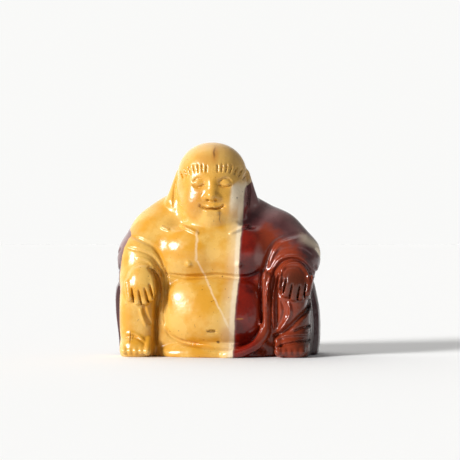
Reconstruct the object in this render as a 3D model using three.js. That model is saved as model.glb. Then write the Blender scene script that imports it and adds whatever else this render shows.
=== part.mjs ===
// A small seated budai, carved from one piece of banded stone and polished all over.
// It sits with both knees up and a hand on each knee. A robe hangs from the shoulders and
// leaves the chest and belly bare, and the underside is sawn flat.
//
// The body is a field: the distance from a point to the surface, below zero inside. Rounded
// masses are blended into each other, and folds are cut along curves drawn on one view of the
// figure. The zero surface is then meshed and thinned out.
//
// +X is the viewer's right, the figure faces -Y and +Z is up. Lengths are millimetres in the
// finished part. Everything that shapes the figure is a share of its height, in percent.

import * as THREE from "three";

// Driving sizes
const HEIGHT = 50; // underside to crown
const GRID = 0.6; // spacing of the grid that the surface is read from, in percent
const TRIANGLES = 9400; // faces kept in the finished surface

const UNIT = HEIGHT / 100;
const ON_BASE = 0.15; // vertices this close to the sawn face lie on it
const SHORT = 0.06; // edges below this are never kept
const NEAR = 6; // how far from a form its distance still counts
const SIDES = [-1, 1];
const { clamp, degToRad } = THREE.MathUtils;

// Field

function smoothMin(a, b, blend) {
  const h = clamp(0.5 + (0.5 * (b - a)) / blend, 0, 1);
  return b + (a - b) * h - blend * h * (1 - h);
}

function smoothMax(a, b, blend) {
  return -smoothMin(-a, -b, blend);
}

// Each form changes the distance at the points inside its own box.
const forms = [];

function addForm(low, high, change) {
  forms.push({ low, high, change });
}

function addSolid(low, high, distance, blend, cut) {
  if (cut) {
    addForm(low, high, (d, x, y, z) => smoothMax(d, -distance(x, y, z), blend));
  } else {
    addForm(low, high, (d, x, y, z) => smoothMin(d, distance(x, y, z), blend));
  }
}

function distanceTo(x, y, z) {
  let d = 60;
  for (const form of forms) {
    const { low, high } = form;
    if (x < low[0] || x > high[0] || y < low[1] || y > high[1] || z < low[2] || z > high[2]) {
      continue;
    }
    d = form.change(d, x, y, z);
  }
  return d;
}

// A rounded mass. A power above 2 makes it boxier, and lean tips its top back, in degrees.
function egg(centre, radii, blend, { power = 2, lean = 0, cut = false } = {}) {
  const [rx, ry, rz] = radii;
  const reach = radii.map((r) => (lean ? Math.max(...radii) : r) + NEAR + blend);
  const cos = Math.cos(degToRad(-lean));
  const sin = Math.sin(degToRad(-lean));
  const distance = (px, py, pz) => {
    const dy = py - centre[1];
    const dz = pz - centre[2];
    const u = Math.abs((px - centre[0]) / rx) + 1e-6;
    const v = Math.abs((cos * dy + sin * dz) / ry) + 1e-6;
    const w = Math.abs((cos * dz - sin * dy) / rz) + 1e-6;
    const us = u ** (power - 1);
    const vs = v ** (power - 1);
    const ws = w ** (power - 1);
    const sum = us * u + vs * v + ws * w;
    const slope = Math.sqrt((us / rx) ** 2 + (vs / ry) ** 2 + (ws / rz) ** 2);
    return (sum - sum ** ((power - 1) / power)) / slope;
  };
  addSolid(
    centre.map((c, i) => c - reach[i]),
    centre.map((c, i) => c + reach[i]),
    distance,
    blend,
    cut,
  );
}

// A round rod that runs from one thickness to another, such as an arm, a finger or a toe.
function limb(from, to, startRadius, endRadius, blend, { cut = false } = {}) {
  const reach = Math.max(startRadius, endRadius) + NEAR + blend;
  const [dx, dy, dz] = to.map((c, i) => c - from[i]);
  const length2 = dx * dx + dy * dy + dz * dz;
  const distance = (px, py, pz) => {
    const x = px - from[0];
    const y = py - from[1];
    const z = pz - from[2];
    const t = clamp((x * dx + y * dy + z * dz) / length2, 0, 1);
    const r = startRadius + (endRadius - startRadius) * t;
    return Math.sqrt((x - t * dx) ** 2 + (y - t * dy) ** 2 + (z - t * dz) ** 2) - r;
  };
  addSolid(
    from.map((c, i) => Math.min(c, to[i]) - reach),
    from.map((c, i) => Math.max(c, to[i]) + reach),
    distance,
    blend,
    cut,
  );
}

// The nearest distance from a point of the drawing plane to a line, and where on it that is.
function nearestOn(line, u, v) {
  let best = Infinity;
  let share = 0;
  let done = 0;
  for (let i = 1; i < line.points.length; i += 1) {
    const a = line.points[i - 1];
    const b = line.points[i];
    const du = b.x - a.x;
    const dv = b.y - a.y;
    const length = line.lengths[i];
    const t = clamp(((u - a.x) * du + (v - a.y) * dv) / (length * length), 0, 1);
    const d = Math.sqrt((u - a.x - t * du) ** 2 + (v - a.y - t * dv) ** 2);
    if (d < best) {
      best = d;
      share = (done + t * length) / line.length;
    }
    done += length;
  }
  return { distance: best, share };
}

function lineThrough(points) {
  const curve = new THREE.SplineCurve(points.map(([u, v]) => new THREE.Vector2(u, v)));
  const dense = curve.getPoints(6 * (points.length - 1));
  const lengths = dense.map((p, i) => (i ? p.distanceTo(dense[i - 1]) : 0));
  const length = lengths.reduce((sum, l) => sum + l, 0);
  return { points: dense, lengths, length };
}

const HALF_SPACE = { front: [1, -1], back: [1, 1], left: [0, -1], right: [0, 1] };

// A groove, or a ridge where its depth is negative, along a curve drawn on the front or back
// (X, Z) or on a side (Y, Z). It gets narrower and shallower over a share of each end, and it
// starts to bite at a distance from the figure's middle.
function stroke(points, width, depth, { side = "front", taper = 0.25, from = 0 } = {}) {
  const line = lineThrough(points);
  const [axis, sign] = HALF_SPACE[side];
  const us = line.points.map((p) => p.x);
  const vs = line.points.map((p) => p.y);
  const low = [-80, -80, Math.min(...vs) - width];
  const high = [80, 80, Math.max(...vs) + width];
  low[1 - axis] = Math.min(...us) - width;
  high[1 - axis] = Math.max(...us) + width;
  if (sign > 0) {
    low[axis] = from;
  } else {
    high[axis] = -from;
  }
  addForm(low, high, (d, x, y, z) => {
    if (Math.abs(d) > 6) {
      return d;
    }
    const near = nearestOn(line, axis === 1 ? x : y, z);
    const ramp = clamp(Math.min(near.share, 1 - near.share) / taper, 0, 1);
    const end = Math.sqrt(ramp * (2 - ramp));
    const reach = width * (0.45 + 0.55 * end);
    const t = clamp(1 - (near.distance / reach) ** 2, 0, 1);
    const fade = clamp((sign * (axis === 1 ? y : x) - from) / 4, 0, 1);
    return d + depth * end * t * t * fade;
  });
}

// Robe: its sections from below the sawn face to the nape, as height, middle, half width,
// front, back and squareness.
const ROBE = [
  [-6, 0.5, 46, -18, 25, 2.9],
  [0, 0.6, 47, -18, 26.3, 2.9],
  [8, 0.8, 47.8, -18.5, 27, 2.8],
  [20, 0, 48.4, -18, 27, 2.8],
  [31, -1, 47.4, -17, 26.7, 2.7],
  [37.5, -0.4, 45.4, -16.5, 26, 2.6],
  [41.5, 0.5, 46.4, -16, 25.2, 2.6],
  [47, 0.9, 46.9, -15, 24.2, 2.5],
  [52, 0.9, 46, -14, 22.8, 2.4],
  [57, 0.2, 41.8, -12.5, 21, 2.3],
  [62, -1.3, 38, -11, 19, 2.2],
  [66, -2.2, 34.2, -9.5, 17.2, 2.1],
  [70, -3, 29.2, -8, 15.4, 2],
  [74, -3.5, 22.6, -6.5, 13.5, 2],
  [80, -2.5, 11, -4, 9, 2],
];
const ROBE_TOP = ROBE[ROBE.length - 1][0];

// One column of the robe's table at a height, and how fast it changes there.
function robeAt(z, column) {
  let i = 0;
  while (i < ROBE.length - 2 && ROBE[i + 1][0] < z) {
    i += 1;
  }
  const slope = (j) => {
    const before = ROBE[Math.max(j - 1, 0)];
    const after = ROBE[Math.min(j + 1, ROBE.length - 1)];
    return (after[column] - before[column]) / (after[0] - before[0]);
  };
  const step = ROBE[i + 1][0] - ROBE[i][0];
  const t = clamp((z - ROBE[i][0]) / step, 0, 1);
  const a = ROBE[i][column];
  const b = ROBE[i + 1][column];
  const m = slope(i) * step;
  const n = slope(i + 1) * step;
  const value =
    (2 * t ** 3 - 3 * t ** 2 + 1) * a +
    (t ** 3 - 2 * t ** 2 + t) * m +
    (3 * t ** 2 - 2 * t ** 3) * b +
    (t ** 3 - t ** 2) * n;
  const change =
    (6 * t ** 2 - 6 * t) * (a - b) + (3 * t ** 2 - 4 * t + 1) * m + (3 * t ** 2 - 2 * t) * n;
  return [value, change / step];
}

const sections = new Map();

function robeMass(x, y, z) {
  if (!sections.has(z)) {
    sections.set(z, [1, 2, 3, 4, 5].map((column) => robeAt(z, column)));
  }
  const [[middle], [width, slope], [front], [back], [power]] = sections.get(z);
  const half = (back - front) / 2;
  const u = Math.abs((x - middle) / width);
  const v = Math.abs((y - (front + back) / 2) / half);
  const r = (u ** power + v ** power) ** (1 / power);
  const lean = 1 / Math.sqrt(1 + (slope * u) ** 2);
  return Math.max((r - 1) * Math.min(width, half) * lean, z - ROBE_TOP + 1);
}

// Trunk: the bare chest and the belly
function addTrunk() {
  addSolid([-80, -80, -80], [80, 80, 120], robeMass, 1, false);
  egg([0, -3.5, 54], [27, 14.2, 12.5], 5);
  for (const side of SIDES) {
    egg([11.5 * side, -6.5, 48], [15, 12.8, 10.5], 6, { power: 2.4 });
  }
  egg([0, -6.5, 20.8], [24.6, 18, 17.2], 1.2, { power: 2.9 });
  egg([0, -9, 16.5], [20, 15.8, 11.5], 5);
  for (const side of SIDES) {
    egg([17.5 * side, -12.6, 62.8], [5.5, 3.4, 3], 3, { cut: true });
    egg([11.6 * side, -18.4, 43], [1.3, 1.5, 1.3], 1.2);
  }
}

function addArms() {
  for (const side of SIDES) {
    const elbow = 1 + 35 * side;
    limb([28 * side, 0.5, 54], [elbow, -4.5, 46], 11.5, 11, 6);
    limb([elbow, -5, 45], [34.5 * side, -9, 36], 10.8, 10.8, 3);
    egg([1.6 + 36.8 * side, 6, 45.5], [9.6, 13.5, 9], 2);
  }
}

// Raised knees under the robe, down to the feet
function addLegs() {
  for (const side of SIDES) {
    egg([35.4 * side, -9, 20], [9.3, 12.6, 22], 1.4, { power: 3 });
    egg([36 * side, -13.6, 3.6], [8.3, 11, 7], 1.4, { power: 2.4 });
  }
}

// Robe across the lap, and the edge that sweeps down from the far sleeve
function addLap() {
  egg([-1, -8.5, 1], [27.5, 17, 7.4], 1.2, { power: 2.3 });
  const hem = new THREE.CatmullRomCurve3(
    [
      [23.4, -19.5, 38],
      [24.3, -20, 25.7],
      [23.9, -20.8, 13.5],
      [20.5, -22.6, 7],
      [13.5, -24.3, 3.4],
      [6, -24.8, 1],
    ].map((p) => new THREE.Vector3(...p)),
  );
  const points = hem.getPoints(20).map((p) => p.toArray());
  for (let i = 1; i < points.length; i += 1) {
    limb(points[i - 1], points[i], 2.1, 2.1, 1.8);
  }
}

// Head, turned a little to the viewer's right: the middle of the skull, and of the face
const SKULL = -2.2;
const MIDLINE = -1;
const EYE = { across: 6.2, height: 80, half: 3.1 };

function addHead() {
  egg([MIDLINE, -4.5, 62], [15, 11.5, 5.6], 1.6);
  egg([SKULL, -0.5, 84.3], [16.3, 16.2, 15.7], 5, { power: 2.1 });
  egg([MIDLINE, -5, 74], [15.2, 12.8, 13.8], 6);
  for (const side of SIDES) {
    egg([MIDLINE + 7.2 * side, -9.3, 70.3], [7, 7, 7.2], 4);
  }
  egg([MIDLINE, -12.4, 64.2], [5.4, 4.6, 3.8], 3);
  for (const side of SIDES) {
    const x = MIDLINE + EYE.across * side;
    egg([x, -19.6, EYE.height - 0.1], [4.6, 3.2, 2.6], 2.6, { cut: true });
    egg([x, -12.9, EYE.height], [3.7, 3.6, 2.7], 1);
  }
  limb([MIDLINE, -14.6, 82.5], [MIDLINE, -17.3, 75.2], 1.5, 2.1, 2.2);
  egg([MIDLINE, -18, 74.3], [2.5, 2.5, 2.2], 1.4);
  for (const side of SIDES) {
    egg([MIDLINE + 2.6 * side, -16.8, 73.7], [1.9, 2, 1.6], 1);
    limb([MIDLINE + side, -17.3, 69.4], [MIDLINE + 4.2 * side, -15.9, 69.9], 1.2, 0.8, 1.4);
  }
  limb([MIDLINE - 2, -16.8, 67], [MIDLINE + 2, -16.8, 67], 1.3, 1.3, 1.6);
}

// Closed lids, brows of short cuts, nostrils and the line of the mouth
function addFaceLines() {
  const BROW_CUTS = 8;
  for (const side of SIDES) {
    const x = MIDLINE + EYE.across * side;
    const z = EYE.height;
    stroke([[x - EYE.half, z - 0.3], [x, z - 1.5], [x + EYE.half, z - 0.2]], 0.75, 0.75, { taper: 0.2 });
    stroke([[x - EYE.half, z + 0.7], [x, z + 2.7], [x + EYE.half, z + 0.8]], 0.7, 0.5, { taper: 0.3 });
    for (let i = 0; i < BROW_CUTS; i += 1) {
      const t = i / (BROW_CUTS - 1);
      const u = MIDLINE + side * (2.6 + 10.6 * t);
      const v = 85.6 + 1.9 * Math.sin(Math.PI * (0.15 + 0.75 * t)) - 1.6 * t;
      stroke([[u + 0.5 * side * (t - 0.2), v + 1.3], [u - 0.2 * side, v - 1.3]], 0.6, 0.6, { taper: 0.3 });
    }
    stroke([[MIDLINE + 5.3 * side, 70.6], [MIDLINE + 5.6 * side, 69]], 1.1, 0.6, { taper: 0.4 });
    stroke([[MIDLINE + side, 72.3], [MIDLINE + 2.4 * side, 72.5]], 0.7, 0.7, { taper: 0.3 });
  }
  const mouth = [[-5.4, 69.7], [-2.4, 68.4], [0, 68.5], [2.4, 68.4], [5.4, 69.7]];
  stroke(mouth.map(([u, v]) => [MIDLINE + u, v]), 0.8, 1, { taper: 0.2 });
}

function addEars() {
  for (const side of SIDES) {
    limb([SKULL + 15.2 * side, 1.5, 85], [SKULL + 18 * side, -2.5, 71.5], 2.4, 3.9, 1.4);
    egg([SKULL + 16.8 * side, -4, 69], [3.4, 3, 4.4], 1.2);
    const fold = [[16.2, 84.5], [17.6, 78], [17.6, 69]];
    stroke(fold.map(([u, v]) => [SKULL + u * side, v]), 0.9, 0.9, { taper: 0.3 });
  }
}

// Hands: where each lies, and the place of each finger's root, its tip and the tip's height,
// the thumb last
const HANDS = [
  {
    x: -33.2,
    z: 32,
    fingers: [
      [-39.4, -38.4, 27.4],
      [-35.9, -34.9, 25.8],
      [-32.8, -31.4, 25.8],
      [-30.4, -28.4, 27.6],
      [-28.4, -26.6, 31],
    ],
  },
  {
    x: 37.2,
    z: 33.6,
    fingers: [
      [44, 43, 30],
      [41.6, 40.4, 28.2],
      [38.4, 36.9, 27.8],
      [34.7, 33.3, 29.4],
      [32.8, 31.2, 32.6],
    ],
  },
];

function addHands() {
  for (const { x, z, fingers } of HANDS) {
    egg([x, -18.4, z + 1.8], [7.2, 5.6, 9.2], 1.2, { power: 2.2, lean: 12 });
    for (const [root, tip, height] of fingers) {
      limb([root, -20.4, height + 6.5], [tip, -21.8, height], 2.1, 1.9, 1.1);
    }
    for (let i = 1; i < fingers.length; i += 1) {
      const [root, tip, height] = fingers[i].map((value, j) => (value + fingers[i - 1][j]) / 2);
      stroke([[root, height + 5.4], [tip, height - 1.8]], 0.85, 1.6, { taper: 0.35, from: 14 });
    }
  }
}

function addFeet() {
  const TOES = 5;
  for (const side of SIDES) {
    for (let i = 0; i < TOES; i += 1) {
      const x = (30.2 + 2.65 * i) * side;
      limb([x, -19.5, 8 - 0.3 * i], [x, -24.4 + 0.3 * i, 2.8], 1.6, i ? 1.7 : 1.9, 0.6);
    }
  }
}

// Folds of the front, as lines with their widths and depths. A depth below zero is a ridge.
const FRONT_FOLDS = [
  [[[-22.5, 38.2], [-14, 37], [-6, 37.1], [0, 37.7], [8, 37], [14, 36.8], [18.5, 38], [22.5, 40.6]], 1.5, 1.2],
  [[[-22.4, 13], [-19.9, 9.4], [-13, 6.6], [-6, 5.3], [2, 4.7], [11, 4.6], [17.6, 7.6], [21.6, 14.5]], 1.5, 1],
  [[[-2.6, 12], [-0.4, 12.5], [1.8, 12.2]], 0.8, 1],
  [[[-16.6, 61.2], [-12, 59.2], [-7, 56.9]], 1.3, -0.9],
  [[[16.6, 61.2], [12, 59.2], [7, 56.9]], 1.3, -0.9],
  [[[-25.6, 60.2], [-21.2, 58.7]], 1.1, -0.6],
  [[[-40, 56], [-36, 54.5], [-29.1, 51.2], [-25.9, 47.6], [-23.6, 42.5], [-21.9, 37.5]], 1.4, 0.7],
  [[[-36.4, 45.9], [-31.4, 44.8], [-27.4, 41.1], [-24.9, 36.6]], 1.2, -0.6],
  [[[-41, 50.2], [-34, 48.6], [-29, 46.2], [-25.7, 41.5], [-23.9, 36.5], [-22.9, 29], [-22.9, 15]], 1.1, 0.9],
  [[[-30.6, 41.4], [-27.6, 38.2], [-26, 33], [-25.9, 28], [-27, 21], [-27.3, 13], [-27, 5]], 1.5, 1.9],
  [[[-32.4, 24.5], [-31.2, 19.5], [-29, 14.6]], 1.2, 0.8],
  [[[-34, 22.5], [-32.8, 18.5], [-31, 14]], 1.1, -0.5],
  [[[-41.6, 10], [-38.3, 11], [-35.5, 10.3], [-32, 8]], 1.1, -0.6],
  [[[22.9, 37], [23.4, 41.5], [24.6, 45.6], [26.7, 50.7], [30.4, 54.3], [38.6, 56.6], [43, 56.3]], 1.7, 0.7],
  [[[25.3, 41], [26.6, 45.4], [28.8, 49.8], [32.2, 52.6], [38.6, 54.6]], 1.3, -0.5],
  [[[25.2, 36.4], [26.9, 40.5], [30.4, 45.1], [35.6, 46.8], [40.7, 45.6], [45.8, 40.5], [47.4, 35.4]], 1.1, -0.8],
  [[[26.6, 44.6], [30, 48.3], [35.5, 50.2], [41, 49.4], [45.6, 46]], 1.3, 0.5],
  [[[26, 35.4], [26, 25], [26.2, 13]], 1.1, 0.9],
  [[[29.5, 39.2], [28.3, 33.5], [27.7, 28], [27.7, 20], [27.9, 12]], 1, -0.7],
  [[[30.4, 38.4], [29.5, 34], [29.4, 26], [29.4, 14]], 1, 0.7],
  [[[34.8, 26], [35.3, 20.5], [33.9, 16.9], [31.3, 13.2], [29, 11]], 1.2, -1],
  [[[31.2, 26.6], [32.6, 22], [31.6, 17.4], [29.4, 13.6]], 1.2, 0.7],
  [[[43.6, 27], [42.7, 22.1], [39.6, 18.4], [35.6, 14.4], [32, 11.7], [27.4, 9.6]], 1.8, 1.7],
  [[[44.4, 14.4], [41, 13.6], [37.2, 12]], 1, 1.1],
  [[[27.2, 6.8], [30.4, 9.2], [34.5, 10.4], [40.7, 10.8], [44, 10.6]], 1.2, -0.8],
  [[[44.4, 7.6], [41, 7.4], [36.6, 6.8], [31.6, 5.6], [28.6, 4]], 1, 1.2],
];

// Folds of each side, drawn on Y and Z: the upright ones hang, and the others go round the arm
const SIDE_FOLDS = [
  [[[-8, 37], [-5.5, 28], [-5, 14], [-6, -6]], 2.4, 1.5],
  [[[4, 36], [4.5, 22], [3, 4]], 2, 0.6],
  [[[13, 36.5], [14, 20], [13.5, 5]], 2, 0.5],
  [[[-11, 42], [-4, 38.4], [6, 37.6], [16, 38.6]], 1.6, 1.3],
  [[[-9, 50], [0, 45.5], [10, 44], [18, 45]], 1.4, 0.7],
];

function addFolds() {
  for (const [points, width, depth] of FRONT_FOLDS) {
    stroke(points, width, depth, { from: 7 });
  }
  for (const side of SIDES) {
    const flank = [[22.6, 42], [22, 36], [21.8, 28.7], [22, 21.8], [22.8, 14]];
    stroke(flank.map(([u, v]) => [u * side, v]), 1.5, 1.5, { from: 7 });
    for (const [points, width, depth] of SIDE_FOLDS) {
      stroke(points, width, depth, { side: side < 0 ? "left" : "right", taper: 0.15, from: 30 });
    }
  }
  limb([-26.8, -27, 15], [-26.8, -25.5, -6], 0.6, 2.9, 1, { cut: true });
  limb([25.6, -27, 10], [21.8, -25.7, -6], 0.8, 2.9, 1, { cut: true });
  addBackFolds();
}

// Collar at the nape, swags across the back and the hanging folds below them
function addBackFolds() {
  const collar = [[-17, 74], [-12, 69.5], [0, 67.4], [12, 69.5], [17, 74]];
  stroke(collar, 1.6, 1.1, { side: "back", taper: 0.15, from: 6 });
  for (const [drop, reach] of [[55, 33], [43, 36], [31, 38]]) {
    const swag = [[-1, 8], [-0.5, -1.5], [0, -4], [0.5, -1.5], [1, 8]];
    stroke(swag.map(([u, v]) => [u * reach, drop + v]), 2, 0.8, { side: "back", taper: 0.35, from: 6 });
  }
  for (const x of [-30, -16, 0, 16, 30]) {
    stroke([[x * 0.92, 20], [x, 12], [x * 1.03, 3]], 2.2, 0.7, { side: "back", taper: 0.3, from: 6 });
  }
}

// Reading the surface

// Distances on a grid. They are exact near the surface and only right in sign elsewhere.
function readGrid(low, high, step) {
  const block = 5;
  const blocks = low.map((l, i) => Math.ceil((high[i] - l) / step / block));
  const count = blocks.map((b) => b * block + 1);
  const at = (i, j, k) => (i * count[1] + j) * count[2] + k;
  const values = new Float32Array(count[0] * count[1] * count[2]).fill(NaN);
  const read = (i, j, k) => {
    const index = at(i, j, k);
    if (Number.isNaN(values[index])) {
      values[index] = distanceTo(low[0] + i * step, low[1] + j * step, low[2] + k * step);
    }
    return values[index];
  };
  const near = 1.6 * block * step;
  for (let bi = 0; bi < blocks[0]; bi += 1) {
    for (let bj = 0; bj < blocks[1]; bj += 1) {
      for (let bk = 0; bk < blocks[2]; bk += 1) {
        const [i, j, k] = [bi * block, bj * block, bk * block];
        const corners = [];
        for (let c = 0; c < 8; c += 1) {
          corners.push(read(i + (c & 1) * block, j + ((c >> 1) & 1) * block, k + (c >> 2) * block));
        }
        if (Math.min(...corners.map(Math.abs)) > near) {
          continue;
        }
        for (let a = 0; a <= block; a += 1) {
          for (let b = 0; b <= block; b += 1) {
            for (let c = 0; c <= block; c += 1) {
              read(i + a, j + b, k + c);
            }
          }
        }
      }
    }
  }
  return { values, count, at };
}

// The corners of a cell are numbered by bits: 1 along X, 2 along Y and 4 along Z.
const CELL_FACES = [
  [0, 2, 6, 4],
  [1, 3, 7, 5],
  [0, 1, 5, 4],
  [2, 3, 7, 6],
  [0, 1, 3, 2],
  [4, 5, 7, 6],
];

// Where two parts of the stone would meet only along an edge or at a corner of the grid, the
// gap beside it is filled, so that the surface is one skin everywhere.
function fillPinches({ values, count, at }, step) {
  const offsets = [];
  for (let c = 0; c < 8; c += 1) {
    offsets.push(at(c & 1, (c >> 1) & 1, c >> 2));
  }
  const fill = (node) => {
    values[node] = -0.1 * step;
  };
  let filled = true;
  while (filled) {
    filled = false;
    for (let base = 0; base < values.length - offsets[7]; base += 1) {
      const nodes = offsets.map((offset) => base + offset);
      const solid = nodes.filter((node) => values[node] < 0).length;
      if (solid === 0 || solid === 8 || nodes.some((node) => Number.isNaN(values[node]))) {
        continue;
      }
      for (const face of CELL_FACES) {
        const [a, b, c, d] = face.map((corner) => nodes[corner]);
        const [inA, inB, inC, inD] = [a, b, c, d].map((node) => values[node] < 0);
        if (inA === inC && inB === inD && inA !== inB) {
          const [e, f] = inA ? [b, d] : [a, c];
          fill(values[e] < values[f] ? e : f);
          filled = true;
        }
      }
      for (let c = 0; c < 4; c += 1) {
        const pair = [nodes[c], nodes[7 - c]];
        const pairIn = pair.filter((node) => values[node] < 0).length;
        const now = nodes.filter((node) => values[node] < 0).length;
        if (pairIn === 0 && now === 6) {
          fill(pair[0]);
          filled = true;
        } else if (pairIn === 2 && now === 2) {
          nodes.filter((node) => values[node] >= 0).slice(0, 2).forEach(fill);
          filled = true;
        }
      }
    }
  }
}

// One vertex in each grid cell that the surface crosses, joined across every crossed edge.
function meshGrid({ values, count, at }, low, step) {
  const vertexOf = new Int32Array(values.length).fill(-1);
  const positions = [];
  const edges = [];
  for (let a = 0; a < 8; a += 1) {
    for (const bit of [1, 2, 4]) {
      if (!(a & bit)) {
        edges.push([a, a | bit]);
      }
    }
  }
  const offset = (c) => at(c & 1, (c >> 1) & 1, c >> 2);
  for (let i = 0; i < count[0] - 1; i += 1) {
    for (let j = 0; j < count[1] - 1; j += 1) {
      for (let k = 0; k < count[2] - 1; k += 1) {
        const base = at(i, j, k);
        const sum = [0, 0, 0];
        let hits = 0;
        for (const [a, b] of edges) {
          const va = values[base + offset(a)];
          const vb = values[base + offset(b)];
          if (va < 0 === vb < 0 || Number.isNaN(va) || Number.isNaN(vb)) {
            continue;
          }
          const t = va / (va - vb);
          for (let axis = 0; axis < 3; axis += 1) {
            const start = (a >> axis) & 1;
            sum[axis] += start + t * (((b >> axis) & 1) - start);
          }
          hits += 1;
        }
        if (hits) {
          vertexOf[base] = positions.length / 3;
          positions.push(
            low[0] + (i + sum[0] / hits) * step,
            low[1] + (j + sum[1] / hits) * step,
            low[2] + (k + sum[2] / hits) * step,
          );
        }
      }
    }
  }
  const strides = [at(1, 0, 0), at(0, 1, 0), at(0, 0, 1)];
  const triangles = [];
  for (let i = 1; i < count[0] - 1; i += 1) {
    for (let j = 1; j < count[1] - 1; j += 1) {
      for (let k = 1; k < count[2] - 1; k += 1) {
        const base = at(i, j, k);
        for (let axis = 0; axis < 3; axis += 1) {
          const va = values[base];
          const vb = values[base + strides[axis]];
          if (va < 0 === vb < 0 || Number.isNaN(va) || Number.isNaN(vb)) {
            continue;
          }
          const p = strides[(axis + 1) % 3];
          const q = strides[(axis + 2) % 3];
          const ring = [base, base - p, base - p - q, base - q].map((cell) => vertexOf[cell]);
          if (va >= 0) {
            ring.reverse();
          }
          triangles.push(ring[0], ring[1], ring[2], ring[0], ring[2], ring[3]);
        }
      }
    }
  }
  return { positions: Float64Array.from(positions), triangles: Int32Array.from(triangles) };
}

// Thinning out: the edge whose collapse moves the surface least goes first

class Queue {
  constructor() {
    this.items = [];
  }

  push(item) {
    const { items } = this;
    let i = items.push(item) - 1;
    while (i > 0) {
      const parent = (i - 1) >> 1;
      if (items[parent].cost <= item.cost) {
        break;
      }
      items[i] = items[parent];
      i = parent;
    }
    items[i] = item;
  }

  pop() {
    const { items } = this;
    const first = items[0];
    const last = items.pop();
    const size = items.length;
    if (size > 0) {
      let i = 0;
      for (;;) {
        let child = 2 * i + 1;
        if (child >= size) {
          break;
        }
        if (child + 1 < size && items[child + 1].cost < items[child].cost) {
          child += 1;
        }
        if (items[child].cost >= last.cost) {
          break;
        }
        items[i] = items[child];
        i = child;
      }
      items[i] = last;
    }
    return first;
  }
}

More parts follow.
